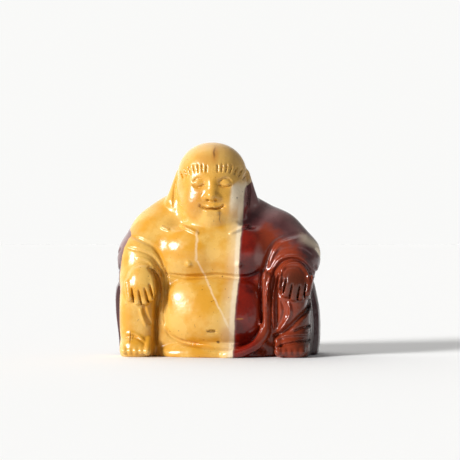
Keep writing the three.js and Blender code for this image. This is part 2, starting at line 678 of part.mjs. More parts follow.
function thinOut({ positions, triangles }, target) {
  const vertexCount = positions.length / 3;
  const around = Array.from({ length: vertexCount }, () => []);
  const alive = new Uint8Array(triangles.length / 3).fill(1);
  const planes = new Float64Array(vertexCount * 10);
  const version = new Int32Array(vertexCount);
  let faces = alive.length;

  const corner = (v, out) => out.set(positions[3 * v], positions[3 * v + 1], positions[3 * v + 2]);
  const [pa, pb, pc, ab, ac] = Array.from({ length: 5 }, () => new THREE.Vector3());
  const normalOf = (out) => out.crossVectors(ab.subVectors(pb, pa), ac.subVectors(pc, pa));

  const addPlane = (v, n, w, weight) => {
    const p = [n.x, n.y, n.z, w];
    let slot = 10 * v;
    for (let i = 0; i < 4; i += 1) {
      for (let j = i; j < 4; j += 1) {
        planes[slot] += weight * p[i] * p[j];
        slot += 1;
      }
    }
  };

  // Every face pulls towards its own plane. A faint pull to the vertex itself keeps flat
  // areas evenly meshed.
  const normal = new THREE.Vector3();
  for (let f = 0; f < faces; f += 1) {
    const ring = [triangles[3 * f], triangles[3 * f + 1], triangles[3 * f + 2]];
    corner(ring[0], pa);
    corner(ring[1], pb);
    corner(ring[2], pc);
    const area = normalOf(normal).length() / 2;
    normal.normalize();
    for (const v of ring) {
      around[v].push(f);
      addPlane(v, normal, -normal.dot(pa), area);
      for (let axis = 0; axis < 3; axis += 1) {
        const unit = new THREE.Vector3().setComponent(axis, 1);
        addPlane(v, unit, -positions[3 * v + axis], area * 2e-4);
      }
    }
  }

  const costOf = (q, x, y, z) =>
    q[0] * x * x + 2 * q[1] * x * y + 2 * q[2] * x * z + 2 * q[3] * x +
    q[4] * y * y + 2 * q[5] * y * z + 2 * q[6] * y + q[7] * z * z + 2 * q[8] * z + q[9];

  const queue = new Queue();
  const matrix = new THREE.Matrix3();
  const best = new THREE.Vector3();
  const consider = (a, b) => {
    const q = [];
    for (let i = 0; i < 10; i += 1) {
      q.push(planes[10 * a + i] + planes[10 * b + i]);
    }
    matrix.set(q[0], q[1], q[2], q[1], q[4], q[5], q[2], q[5], q[7]);
    const scale = q[0] + q[4] + q[7];
    corner(a, pa);
    corner(b, pb);
    best.addVectors(pa, pb).multiplyScalar(0.5);
    const reach = pa.distanceTo(pb);
    if (Math.abs(matrix.determinant()) > 1e-9 * scale ** 3) {
      const solved = new THREE.Vector3(-q[3], -q[6], -q[8]).applyMatrix3(matrix.invert());
      if (solved.distanceTo(best) < 2 * reach) {
        best.copy(solved);
      }
    }
    const cost = Math.max(costOf(q, best.x, best.y, best.z), 0) + 1e-7 * reach * reach;
    queue.push({ cost, a, b, age: version[a] + version[b], x: best.x, y: best.y, z: best.z });
  };

  const neighbours = (v) => {
    const found = new Set();
    for (const f of around[v]) {
      for (let i = 0; i < 3; i += 1) {
        found.add(triangles[3 * f + i]);
      }
    }
    found.delete(v);
    return found;
  };

  // Moving a vertex may not turn a face over or leave a sliver.
  const before = new THREE.Vector3();
  const after = new THREE.Vector3();
  const keepsFaces = (v, other, x, y, z) => {
    for (const f of around[v]) {
      const ring = [triangles[3 * f], triangles[3 * f + 1], triangles[3 * f + 2]];
      if (ring.includes(other)) {
        continue;
      }
      corner(ring[0], pa);
      corner(ring[1], pb);
      corner(ring[2], pc);
      normalOf(before);
      [pa, pb, pc][ring.indexOf(v)].set(x, y, z);
      normalOf(after);
      const longest = Math.max(ab.lengthSq(), ac.lengthSq(), pb.distanceToSquared(pc));
      if (after.length() < 0.06 * longest || after.dot(before) < 0.4 * after.length() * before.length()) {
        return false;
      }
    }
    return true;
  };

  for (let v = 0; v < vertexCount; v += 1) {
    for (const w of neighbours(v)) {
      if (v < w) {
        consider(v, w);
      }
    }
  }

  while (faces > target && queue.items.length) {
    const { a, b, age, x, y, z } = queue.pop();
    if (age !== version[a] + version[b] || !around[a].length || !around[b].length) {
      continue;
    }
    const ringA = neighbours(a);
    const shared = [...neighbours(b)].filter((v) => ringA.has(v));
    corner(a, pa);
    corner(b, pb);
    const short = pa.distanceTo(pb) < SHORT;
    if (shared.length !== 2 || !(short || (keepsFaces(a, b, x, y, z) && keepsFaces(b, a, x, y, z)))) {
      continue;
    }
    positions.set([x, y, z], 3 * a);
    for (let i = 0; i < 10; i += 1) {
      planes[10 * a + i] += planes[10 * b + i];
    }
    for (const f of around[b]) {
      const ring = triangles.subarray(3 * f, 3 * f + 3);
      if (ring.includes(a)) {
        alive[f] = 0;
        faces -= 1;
      } else {
        ring[ring.indexOf(b)] = a;
        around[a].push(f);
      }
    }
    around[b] = [];
    for (const v of [a, ...shared]) {
      around[v] = around[v].filter((f) => alive[f]);
    }
    version[a] += 1;
    for (const v of neighbours(a)) {
      consider(a, v);
    }
  }

  // Only what is still in use is kept.
  const renumbered = new Map();
  const keptPositions = [];
  const keptTriangles = [];
  for (let f = 0; f < alive.length; f += 1) {
    if (!alive[f]) {
      continue;
    }
    for (const v of triangles.subarray(3 * f, 3 * f + 3)) {
      if (!renumbered.has(v)) {
        renumbered.set(v, renumbered.size);
        keptPositions.push(...positions.subarray(3 * v, 3 * v + 3));
      }
      keptTriangles.push(renumbered.get(v));
    }
  }
  return { positions: keptPositions, triangles: keptTriangles };
}

function carveFigure() {
  addTrunk();
  addArms();
  addLegs();
  addLap();
  addHead();
  addEars();
  addHands();
  addFeet();
  addFolds();
  addFaceLines();
  addForm([-80, -80, -80], [80, 80, 20], (d, x, y, z) => Math.max(d, -z));

  const low = [-90 * GRID, -55 * GRID, -3 * GRID];
  const high = [90 * GRID, 55 * GRID, 105];
  const grid = readGrid(low, high, GRID);
  fillPinches(grid, GRID);
  const surface = thinOut(meshGrid(grid, low, GRID), TRIANGLES);
  for (let i = 2; i < surface.positions.length; i += 3) {
    if (surface.positions[i] < ON_BASE) {
      surface.positions[i] = 0;
    }
  }
  const geometry = new THREE.BufferGeometry();
  geometry.setAttribute("position", new THREE.Float32BufferAttribute(surface.positions, 3));
  geometry.setIndex(surface.triangles);
  geometry.computeBoundingBox();
  const { min, max } = geometry.boundingBox;
  geometry.translate(-(min.x + max.x) / 2, -(min.y + max.y) / 2, 0);
  geometry.scale(UNIT, UNIT, HEIGHT / max.z);
  geometry.computeVertexNormals();
  return geometry;
}

const stone = new THREE.MeshStandardMaterial({ color: 0xd99a3a, roughness: 0.15, metalness: 0 });
const figure = new THREE.Mesh(carveFigure(), stone);
figure.name = "budai_figure";

const budai = new THREE.Group();
budai.add(figure);

export default budai;
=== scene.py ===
import math

import bpy
import numpy as np
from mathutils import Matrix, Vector


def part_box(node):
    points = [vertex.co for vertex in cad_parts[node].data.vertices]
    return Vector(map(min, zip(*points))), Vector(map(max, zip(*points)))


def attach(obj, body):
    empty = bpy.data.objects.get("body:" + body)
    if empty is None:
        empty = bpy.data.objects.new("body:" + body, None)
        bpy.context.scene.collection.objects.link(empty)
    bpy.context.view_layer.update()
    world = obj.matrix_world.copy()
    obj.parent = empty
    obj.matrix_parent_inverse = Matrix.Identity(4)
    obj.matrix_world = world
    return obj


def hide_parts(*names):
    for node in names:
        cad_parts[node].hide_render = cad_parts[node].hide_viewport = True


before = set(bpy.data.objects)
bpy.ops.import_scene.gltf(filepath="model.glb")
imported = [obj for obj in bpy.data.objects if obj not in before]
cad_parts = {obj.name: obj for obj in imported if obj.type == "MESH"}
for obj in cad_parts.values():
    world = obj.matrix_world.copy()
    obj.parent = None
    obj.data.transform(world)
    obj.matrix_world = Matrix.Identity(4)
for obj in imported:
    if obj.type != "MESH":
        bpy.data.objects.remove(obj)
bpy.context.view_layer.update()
LOW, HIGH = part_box("budai_figure")
UNIT = (HIGH[2] - LOW[2]) / 100
REAL = np.float32
SIDES = (-1, 1)

GRID = 0.53  # spacing of the grid that the surface is read from
NEAR = 6  # how far from a form its distance still counts
FAR = 60  # the distance before any form is added


# Field


def smooth_min(a, b, blend):
    h = np.clip(0.5 + 0.5 * (b - a) / blend, 0, 1)
    return b + (a - b) * h - blend * h * (1 - h)


def smooth_max(a, b, blend):
    return -smooth_min(-a, -b, blend)


def smooth_line(points, steps=6):
    """A smooth line through points of the drawing plane or of space, as a dense polyline."""
    points = np.array(points, float)
    padded = np.vstack([points[0], points, points[-1]])
    line = []
    for a, b, c, d in zip(padded, padded[1:], padded[2:], padded[3:]):
        for t in np.arange(steps) / steps:
            bend = (2 * a - 5 * b + 4 * c - d) * t * t + (3 * b - 3 * c + d - a) * t**3
            line.append((2 * b + (c - a) * t + bend) / 2)
    line.append(points[-1])
    return np.array(line)


def nearest_on(line, u, v):
    """The distance from each point to a polyline, and the share of its length at that place."""
    best = np.full(u.shape, 1e9, REAL)
    share = np.zeros(u.shape, REAL)
    lengths = np.hypot(*np.diff(line, axis=0).T)
    done = 0.0
    for (au, av), (bu, bv), length in zip(line, line[1:], lengths):
        du, dv = bu - au, bv - av
        t = np.clip(((u - au) * du + (v - av) * dv) / length**2, 0, 1)
        distance = np.hypot(u - au - t * du, v - av - t * dv)
        closer = distance < best
        best = np.where(closer, distance, best)
        share = np.where(closer, (done + t * length) / lengths.sum(), share)
        done += length
    return best, share


class Field:
    """Distances to the surface at many points, below zero inside. Each form changes them."""

    def __init__(self, x, y, z):
        self.x, self.y, self.z = x, y, z
        self.d = np.full(x.shape, FAR, REAL)

    def inside_box(self, low, high):
        keep = (self.z > low[2]) & (self.z < high[2])
        keep &= (self.x > low[0]) & (self.x < high[0])
        keep &= (self.y > low[1]) & (self.y < high[1])
        return np.nonzero(keep)[0]

    def solid(self, low, high, distance, blend, cut=False):
        i = self.inside_box(low, high)
        other = distance(self.x[i], self.y[i], self.z[i])
        if cut:
            self.d[i] = smooth_max(self.d[i], -other, blend)
        else:
            self.d[i] = smooth_min(self.d[i], other, blend)

    def egg(self, centre, radii, blend, power=2, lean=0, cut=False):
        """A rounded mass. A power above 2 makes it boxier, and lean tips its top back."""
        cos, sin = math.cos(math.radians(-lean)), math.sin(math.radians(-lean))

        def distance(x, y, z):
            dy, dz = y - centre[1], z - centre[2]
            u = np.abs(x - centre[0]) / radii[0] + 1e-6
            v = np.abs(cos * dy + sin * dz) / radii[1] + 1e-6
            w = np.abs(cos * dz - sin * dy) / radii[2] + 1e-6
            us, vs, ws = u ** (power - 1), v ** (power - 1), w ** (power - 1)
            total = us * u + vs * v + ws * w
            slope = np.sqrt((us / radii[0]) ** 2 + (vs / radii[1]) ** 2 + (ws / radii[2]) ** 2)
            return (total - total ** ((power - 1) / power)) / slope

        reach = [(max(radii) if lean else r) + NEAR + blend for r in radii]
        low = [c - r for c, r in zip(centre, reach)]
        high = [c + r for c, r in zip(centre, reach)]
        self.solid(low, high, distance, blend, cut)

    def limb(self, start, end, start_radius, end_radius, blend, cut=False):
        """A round rod that runs from one thickness to another."""
        way = np.subtract(end, start)

        def distance(x, y, z):
            dx, dy, dz = x - start[0], y - start[1], z - start[2]
            t = np.clip((dx * way[0] + dy * way[1] + dz * way[2]) / way.dot(way), 0, 1)
            dx, dy, dz = dx - t * way[0], dy - t * way[1], dz - t * way[2]
            return np.sqrt(dx * dx + dy * dy + dz * dz) - start_radius - (end_radius - start_radius) * t

        reach = max(start_radius, end_radius) + NEAR + blend
        self.solid(np.minimum(start, end) - reach, np.maximum(start, end) + reach, distance, blend, cut)

    def rope(self, points, radii, blend, cut=False):
        """A limb along a smooth line, with a radius at each point."""
        line = smooth_line([(*p, r) for p, r in zip(points, radii)], 4)
        for a, b in zip(line, line[1:]):
            self.limb(a[:3], b[:3], a[3], b[3], blend, cut)

    def stroke(self, points, width, depth, side="front", taper=0.25, start=0):
        """A groove, or a ridge where depth is negative, along a line drawn on one view.

        The line is drawn on X and Z for the front and back, and on Y and Z for a side. It gets
        narrower and shallower over a share of each end, and bites from start outwards.
        """
        line = smooth_line(points)
        outward = {"front": -self.y, "back": self.y, "left": -self.x, "right": self.x}[side]
        u = self.x if side in ("front", "back") else self.y
        low, high = line.min(0) - width, line.max(0) + width
        keep = (np.abs(self.d) < NEAR) & (outward > start) & (self.z > low[1]) & (self.z < high[1])
        i = np.nonzero(keep & (u > low[0]) & (u < high[0]))[0]
        distance, share = nearest_on(line, u[i], self.z[i])
        ramp = np.clip(np.minimum(share, 1 - share) / taper, 0, 1)
        end = np.sqrt(ramp * (2 - ramp))
        t = np.clip(1 - (distance / (width * (0.45 + 0.55 * end))) ** 2, 0, 1)
        fade = np.clip((outward[i] - start) / 4, 0, 1)
        self.d[i] += depth * end * t * t * fade


# Robe: its sections from below the sawn face to the nape, as height, middle, half width,
# front, back and squareness.
ROBE = np.array(
    [
        [-6, 0.5, 46, -18, 25, 2.9],
        [0, 0.6, 47, -18, 26.3, 2.9],
        [8, 0.8, 47.8, -18.5, 27, 2.8],
        [20, 0, 48.4, -18, 27, 2.8],
        [31, -1, 47.4, -17, 26.7, 2.7],
        [37.5, -0.4, 45.4, -16.5, 26, 2.6],
        [41.5, 0.5, 46.4, -16, 25.2, 2.6],
        [47, 0.9, 46.9, -15, 24.2, 2.5],
        [52, 0.9, 46, -14, 22.8, 2.4],
        [57, 0.2, 41.8, -12.5, 21, 2.3],
        [62, -1.3, 38, -11, 19, 2.2],
        [66, -2.2, 34.2, -9.5, 17.2, 2.1],
        [70, -3, 29.2, -8, 15.4, 2],
        [74, -3.5, 22.6, -6.5, 13.5, 2],
        [80, -2.5, 11, -4, 9, 2],
    ]
)
ROBE_TOP = ROBE[-1, 0]


def robe_at(z):
    """The robe's middle, half width, front, back and squareness, and the half width's slope."""
    heights = ROBE[:, 0]
    ends = np.vstack([ROBE[0], ROBE, ROBE[-1]])
    slopes = (ends[2:, 1:] - ends[:-2, 1:]) / (ends[2:, :1] - ends[:-2, :1])
    i = np.clip(np.searchsorted(heights, z) - 1, 0, len(heights) - 2)
    step = heights[i + 1] - heights[i]
    t = np.clip((z - heights[i]) / step, 0, 1)
    a, b = ROBE[i, 1:].T, ROBE[i + 1, 1:].T
    m, n = slopes[i].T * step, slopes[i + 1].T * step
    value = (2 * t**3 - 3 * t**2 + 1) * a + (t**3 - 2 * t**2 + t) * m
    value += (3 * t**2 - 2 * t**3) * b + (t**3 - t**2) * n
    change = (6 * t**2 - 6 * t) * (a - b) + (3 * t**2 - 4 * t + 1) * m + (3 * t**2 - 2 * t) * n
    return value, change[1] / step


def robe_mass(x, y, z):
    levels, level = np.unique(z, return_inverse=True)
    values, slopes = robe_at(levels)
    middle, width, front, back, power = values.astype(REAL)[:, level]
    half = (back - front) / 2
    u = np.abs((x - middle) / width)
    v = np.abs((y - (front + back) / 2) / half)
    r = (u**power + v**power) ** (1 / power)
    lean = 1 / np.sqrt(1 + (slopes.astype(REAL)[level] * u) ** 2)
    return np.maximum((r - 1) * np.minimum(width, half) * lean, z - ROBE_TOP + 1)


# Trunk: the bare chest and the belly


def add_trunk(f):
    f.solid((-80, -80, -80), (80, 80, 120), robe_mass, 1)
    f.egg((0, -3.5, 52), (29, 15.6, 13.5), 5)
    for side in SIDES:
        f.egg((10.8 * side, -6.5, 47.4), (14.4, 12.8, 10.2), 6, power=2.2)
    f.egg((0, -6.5, 20.8), (25.4, 17.8, 17.2), 1.2, power=3)
    f.egg((0, -10, 18.5), (19.5, 15.8, 12.5), 6)
    for side in SIDES:
        f.egg((17.5 * side, -12.6, 62.8), (5.5, 3.4, 3), 3, cut=True)
        f.egg((11.6 * side, -18.4, 43), (1.3, 1.5, 1.3), 1.2)


def add_arms(f):
    for side in SIDES:
        elbow = 1 + 35 * side
        f.limb((28 * side, 0.5, 54), (elbow, -4.5, 46), 11.5, 11, 6)
        f.limb((elbow, -5, 45), (34.5 * side, -9, 36), 10.8, 10.8, 3)
        f.egg((1.6 + 36.8 * side, 6, 45.5), (9.6, 13.5, 9), 2)


def add_legs(f):
    for side in SIDES:
        f.egg((35.4 * side, -9, 20), (9.3, 12.6, 22), 1.4, power=3)
        f.egg((36 * side, -13.6, 3.6), (8.3, 11, 7), 1.4, power=2.4)


# Robe across the lap, and the edge that sweeps down from the far sleeve
HEM = (
    (23.4, -19.5, 38),
    (24.3, -20, 25.7),
    (23.9, -20.8, 13.5),
    (20.5, -22.6, 7),
    (13.5, -24.3, 3.4),
    (6, -24.8, 1),
)
HEM_RADIUS = 2.1


def add_lap(f):
    f.egg((-1, -8.5, 1), (27.5, 17, 7.4), 1.2, power=2.3)
    f.rope(HEM, (HEM_RADIUS,) * len(HEM), 1.8)
    # Cloth that fills the hollow between this edge and the far leg
    f.limb((27, -15, 36), (26.6, -16.4, 9), 3.4, 3.4, 2)


# Head, turned a little to the viewer's right: the middle of the skull, and of the face
SKULL = -2.2
MIDLINE = -1
EYE_ACROSS = 6.2
EYE_HEIGHT = 80
EYE_HALF = 3.1
BROW_CUTS = 7


def add_head(f):
    f.egg((MIDLINE, -4.5, 62), (15, 11.5, 5.6), 1.6)
    f.egg((SKULL, -0.5, 84.3), (16.3, 16.2, 15.7), 5, power=2.1)
    f.egg((MIDLINE, -5, 74), (15.2, 12.8, 13.8), 6)
    for side in SIDES:
        f.egg((MIDLINE + 7.2 * side, -9.3, 70.3), (7, 7, 7.2), 4)
    f.egg((MIDLINE, -12.4, 64.2), (5.4, 4.6, 3.8), 3)
    for side in SIDES:
        x = MIDLINE + EYE_ACROSS * side
        f.egg((x, -19.6, EYE_HEIGHT - 0.1), (4.6, 3.2, 2.6), 2.6, cut=True)
        f.egg((x, -12.9, EYE_HEIGHT), (3.7, 3.6, 2.7), 1)
    f.limb((MIDLINE, -14.6, 82.5), (MIDLINE, -17.3, 75.2), 1.5, 2.1, 2.2)
    f.egg((MIDLINE, -18, 74.3), (2.5, 2.5, 2.2), 1.4)
    for side in SIDES:
        f.egg((MIDLINE + 2.6 * side, -16.8, 73.7), (1.9, 2, 1.6), 1)
        f.limb((MIDLINE + side, -17.3, 69.4), (MIDLINE + 4.2 * side, -15.9, 69.9), 1.2, 0.8, 1.4)
    f.limb((MIDLINE - 2, -16.8, 67), (MIDLINE + 2, -16.8, 67), 1.3, 1.3, 1.6)


def add_face_lines(f):
    """Closed lids, brows of short cuts, nostrils and the line of the mouth."""
    for side in SIDES:
        x, z = MIDLINE + EYE_ACROSS * side, EYE_HEIGHT
        f.stroke([(x - EYE_HALF, z - 0.3), (x, z - 1.5), (x + EYE_HALF, z - 0.2)], 0.75, 0.75, taper=0.2)
        f.stroke([(x - EYE_HALF, z + 0.7), (x, z + 2.7), (x + EYE_HALF, z + 0.8)], 0.7, 0.5, taper=0.3)
        for t in np.linspace(0, 1, BROW_CUTS):
            u = MIDLINE + side * (2.6 + 11.4 * t)
            v = 84.9 + 2.6 * math.sin(math.pi * (0.2 + 0.7 * t)) - 2.2 * t
            f.stroke([(u + 1.4 * side * t, v + 2.7), (u - 0.4 * side * t, v - 1.5)], 0.6, 0.7, taper=0.4)
        f.stroke([(MIDLINE + 5.3 * side, 70.6), (MIDLINE + 5.6 * side, 69)], 1.1, 0.6, taper=0.4)
        f.stroke([(MIDLINE + side, 72.3), (MIDLINE + 2.4 * side, 72.5)], 0.7, 0.7, taper=0.3)
    mouth = ((-5.4, 69.7), (-2.4, 68.4), (0, 68.5), (2.4, 68.4), (5.4, 69.7))
    f.stroke([(MIDLINE + u, v) for u, v in mouth], 0.8, 1, taper=0.2)


def add_ears(f):
    for side in SIDES:
        f.limb((SKULL + 15.2 * side, 1.5, 85), (SKULL + 18 * side, -2.5, 71.5), 2.4, 3.9, 1.4)
        f.egg((SKULL + 16.8 * side, -4, 69), (3.4, 3, 4.4), 1.2)
        fold = ((16.2, 84.5), (17.6, 78), (17.6, 69))
        f.stroke([(SKULL + u * side, v) for u, v in fold], 0.9, 0.7 + 0.2 * side, taper=0.3)


# Fingers of each hand: the place of the root and of the tip, and the tip's height, the thumb last
LEFT_FINGERS = (
    (-39.4, -38.4, 27.4),
    (-35.9, -34.9, 25.8),
    (-32.8, -31.4, 25.8),
    (-30.4, -28.4, 27.6),
    (-28.6, -26.8, 29.8),
)
RIGHT_FINGERS = (
    (44, 43, 30),
    (41.6, 40.4, 28.2),
    (38.4, 36.9, 27.8),
    (34.7, 33.3, 29.4),
    (32.8, 31.2, 32.6),
)
HANDS = ((-33.2, 32, LEFT_FINGERS), (37.2, 33.6, RIGHT_FINGERS))
TOES = 5


def add_hands(f):
    for x, z, fingers in HANDS:
        f.egg((x, -18.4, z + 1.8), (7.2, 5.6, 9.2), 1.2, power=2.2, lean=12)
        for root, tip, height in fingers:
            f.limb((root, -20.4, height + 6.5), (tip, -21.8, height), 2.1, 1.9, 1.1)
        for a, b in zip(fingers, fingers[1:]):
            root, tip, height = np.add(a, b) / 2
            f.stroke([(root, height + 5.4), (tip, height - 1.8)], 0.62, 1.3, taper=0.35, start=14)


def add_feet(f):
    for side in SIDES:
        for i in range(TOES):
            x = (30.2 + 2.65 * i) * side
            f.limb((x, -19.5, 8 - 0.3 * i), (x, -24.4 + 0.3 * i, 2.8), 1.6, 1.7 if i else 1.9, 0.6)


# Folds of the front, as lines with their widths and depths. A depth below zero is a ridge.
CHEST_FOLDS = (
    (
        ((-22.5, 38.2), (-14, 37), (-6, 37.1), (0, 37.7), (8, 37), (14, 36.8), (18.5, 38), (22.5, 40.6)),
        1.5,
        1.2,
    ),
    (
        ((-22.4, 13), (-19.9, 9.4), (-13, 6.6), (-6, 5.3), (2, 4.7), (11, 4.6), (17.6, 7.6), (21.6, 14.5)),
        1.5,
        1,
    ),
    (((-2.6, 12), (-0.4, 12.5), (1.8, 12.2)), 0.8, 1),
    (((-16.6, 61.2), (-12, 59.2), (-7, 56.9)), 1.3, -0.9),
    (((16.6, 61.2), (12, 59.2), (7, 56.9)), 1.3, -0.9),
    (((-25.6, 60.2), (-21.2, 58.7)), 1.1, -0.6),
)
LEFT_FOLDS = (
    (((-40, 56), (-36, 54.5), (-29.1, 51.2), (-25.9, 47.6), (-23.6, 42.5), (-21.9, 37.5)), 1.4, 0.7),
    (((-36.4, 45.9), (-31.4, 44.8), (-27.4, 41.1), (-24.9, 36.6)), 1.2, -0.6),
    (((-23.9, 32.5), (-23.6, 28), (-24.2, 20)), 0.9, -0.5),
    (
        (
            (-41, 50.2), (-34, 48.6), (-29, 46.2), (-25.7, 41.5),
            (-23.9, 36.5), (-22.9, 29), (-23.4, 21), (-22.9, 15),
        ),
        1.1,
        0.7,
    ),
    (((-30.6, 41.4), (-27.6, 38.2), (-26, 33), (-25.9, 28), (-27, 21), (-27.3, 13), (-27, 5)), 1.5, 1.9),
    (((-32.4, 24.5), (-31.2, 19.5), (-29, 14.6)), 1.2, 0.8),
    (((-34, 22.5), (-32.8, 18.5), (-31, 14)), 1.1, -0.5),
    (((-41.6, 10), (-38.3, 11), (-35.5, 10.3), (-32, 8)), 1.1, -0.45),
    (((-42, 8.4), (-38.3, 9.2), (-35, 8.5), (-31.4, 6)), 0.9, 0.45),
)
RIGHT_FOLDS = (
    (
        ((22.9, 37), (23.4, 41.5), (24.6, 45.6), (26.7, 50.7), (30.4, 54.3), (38.6, 56.6), (43, 56.3)),
        1.7,
        0.7,
    ),
    (((25.3, 41), (26.6, 45.4), (28.8, 49.8), (32.2, 52.6), (38.6, 54.6)), 1.3, -0.5),
    (
        ((25.2, 36.4), (26.9, 40.5), (30.4, 45.1), (35.6, 46.8), (40.7, 45.6), (45.8, 40.5), (47.4, 35.4)),
        1.1,
        -0.8,
    ),
    (((27, 37.4), (28.9, 41), (31.8, 43.9), (35.8, 45.1), (40, 44), (43.9, 39.8), (45, 35)), 0.9, 0.9),
    (((26.6, 44.6), (30, 48.3), (35.5, 50.2), (41, 49.4), (45.6, 46)), 1.3, 0.5),
    (((30.6, 39.4), (33, 42.4), (36.6, 43.5), (40.6, 42.9), (42.9, 40.3), (44, 36.2)), 0.9, -0.5),
    (((31.8, 38.4), (33.8, 40.9), (36.7, 41.9), (39.8, 41.3), (41.8, 38.8)), 0.8, 0.6),
    (((27.3, 39.6), (25.6, 34.6), (24.9, 29), (24.6, 24)), 0.9, -1.1),
    (((26, 35.4), (26, 25), (26.2, 13)), 1.5, 0.4),
    (((29.5, 39.2), (28.3, 33.5), (27.7, 28), (27.7, 20), (27.9, 12)), 1, -1),
    (((31.4, 39.6), (30.6, 35.4), (30, 31.4)), 0.8, -0.9),
    (((30.4, 38.4), (29.5, 34), (29.4, 26), (29.4, 14)), 1.3, 0.5),
    (((32.2, 37.4), (31.2, 32), (30.9, 28)), 0.7, 0.7),
    (((34.8, 26), (35.3, 20.5), (33.9, 16.9), (31.3, 13.2), (29, 11)), 1.2, -1),
    (((31.2, 26.6), (32.6, 22), (31.6, 17.4), (29.4, 13.6)), 1.2, 0.7),
    (((43.6, 27), (42.7, 22.1), (39.6, 18.4), (35.6, 14.4), (32, 11.7), (27.4, 9.6)), 1.8, 1.7),
    (((44.4, 14.4), (41, 13.6), (37.2, 12)), 1, 1.1),
    (((27.2, 6.8), (30.4, 9.2), (34.5, 10.4), (40.7, 10.8), (44, 10.6)), 1.2, -0.8),
    (((44.4, 7.6), (41, 7.4), (36.6, 6.8), (31.6, 5.6), (28.6, 4)), 1, 1.2),
)
FRONT_FOLDS = CHEST_FOLDS + LEFT_FOLDS + RIGHT_FOLDS

# Folds of each side, drawn on Y and Z: the upright ones hang, and the others go round the arm
SIDE_FOLDS = (
    (((-8, 37), (-5.5, 28), (-5, 14), (-6, -6)), 2.4, 1.5),
    (((4, 36), (4.5, 22), (3, 4)), 2, 0.6),
    (((13, 36.5), (14, 20), (13.5, 5)), 2, 0.5),
    (((-11, 42), (-4, 38.4), (6, 37.6), (16, 38.6)), 1.6, 1.3),
    (((-9, 50), (0, 45.5), (10, 44), (18, 45)), 1.4, 0.7),
)
FLANK = ((22.6, 42), (22, 36), (21.8, 28.7), (22, 21.8), (22.8, 14))
COLLAR = ((-17, 74), (-12, 69.5), (0, 67.4), (12, 69.5), (17, 74))
SWAG = ((-1, 8), (-0.5, -1.5), (0, -4), (0.5, -1.5), (1, 8))


def add_folds(f):
    for points, width, depth in FRONT_FOLDS:
        f.stroke(points, width, depth, start=7)
    for side, name in zip(SIDES, ("left", "right")):
        f.stroke([(u * side, v) for u, v in FLANK], 1.3 + 0.2 * side, 1 + 0.3 * side, start=7)
        for points, width, depth in SIDE_FOLDS:
            f.stroke(points, width, depth, name, taper=0.15, start=30)
    # Hollows at the floor between each foot and the lap
    f.limb((-26.8, -27, 15), (-26.8, -25.5, -6), 0.6, 2.9, 1, cut=True)
    f.limb((25.6, -27, 10), (21.8, -25.7, -6), 0.8, 2.9, 1, cut=True)


def add_back_folds(f):
    f.stroke(COLLAR, 1.6, 1.1, "back", taper=0.15, start=6)
    for drop, reach in ((55, 33), (43, 36), (31, 38)):
        f.stroke([(u * reach, drop + v) for u, v in SWAG], 2, 0.8, "back", taper=0.35, start=6)
    for x in (-30, -16, 0, 16, 30):
        f.stroke([(x * 0.92, 20), (x, 12), (x * 1.03, 3)], 2.2, 0.7, "back", taper=0.3, start=6)


def figure_distance(x, y, z):
    f = Field(x, y, z)
    add_trunk(f)
    add_arms(f)
    add_legs(f)
    add_lap(f)
    add_head(f)
    add_ears(f)
    add_hands(f)
    add_feet(f)
    add_folds(f)
    add_back_folds(f)
    add_face_lines(f)
    f.d = smooth_max(f.d, -z, 0.6)
    return f.d


# Reading the surface, in a box with room round the whole figure


GRID_LOW = (-54, -32, -3 * GRID)
GRID_HIGH = (54, 32, 104)
CREASE = 60  # degrees, above which an edge is sharp


def read_grid(low, high, step, block=6):
    """Distances on a grid. They are exact near the surface and only right in sign elsewhere."""
    count = [math.ceil((h - l) / step / block) * block + 1 for l, h in zip(low, high)]
    axes = [(l + step * np.arange(n)).astype(REAL) for l, n in zip(low, count)]
    coarse_points = np.meshgrid(*[a[::block] for a in axes], indexing="ij")
    coarse = figure_distance(*[c.ravel() for c in coarse_points]).reshape(coarse_points[0].shape)
    cells = tuple(n - 1 for n in coarse.shape)
    near = np.zeros(cells, bool)
    for i, j, k in np.ndindex(2, 2, 2):
        corner = coarse[i : cells[0] + i, j : cells[1] + j, k : cells[2] + k]
        near |= np.abs(corner) < 2.4 * step * block
    grown = near.repeat(block, 0).repeat(block, 1).repeat(block, 2)
    wanted = np.zeros(count, bool)
    for i, j, k in np.ndindex(2, 2, 2):
        wanted[i : count[0] - 1 + i, j : count[1] - 1 + j, k : count[2] - 1 + k] |= grown
    values = np.ones(count, REAL)
    inner = np.sign(coarse[:-1, :-1, :-1])
    values[:-1, :-1, :-1] = inner.repeat(block, 0).repeat(block, 1).repeat(block, 2)
    i, j, k = np.nonzero(wanted)
    values[i, j, k] = figure_distance(axes[0][i], axes[1][j], axes[2][k])
    return values, axes


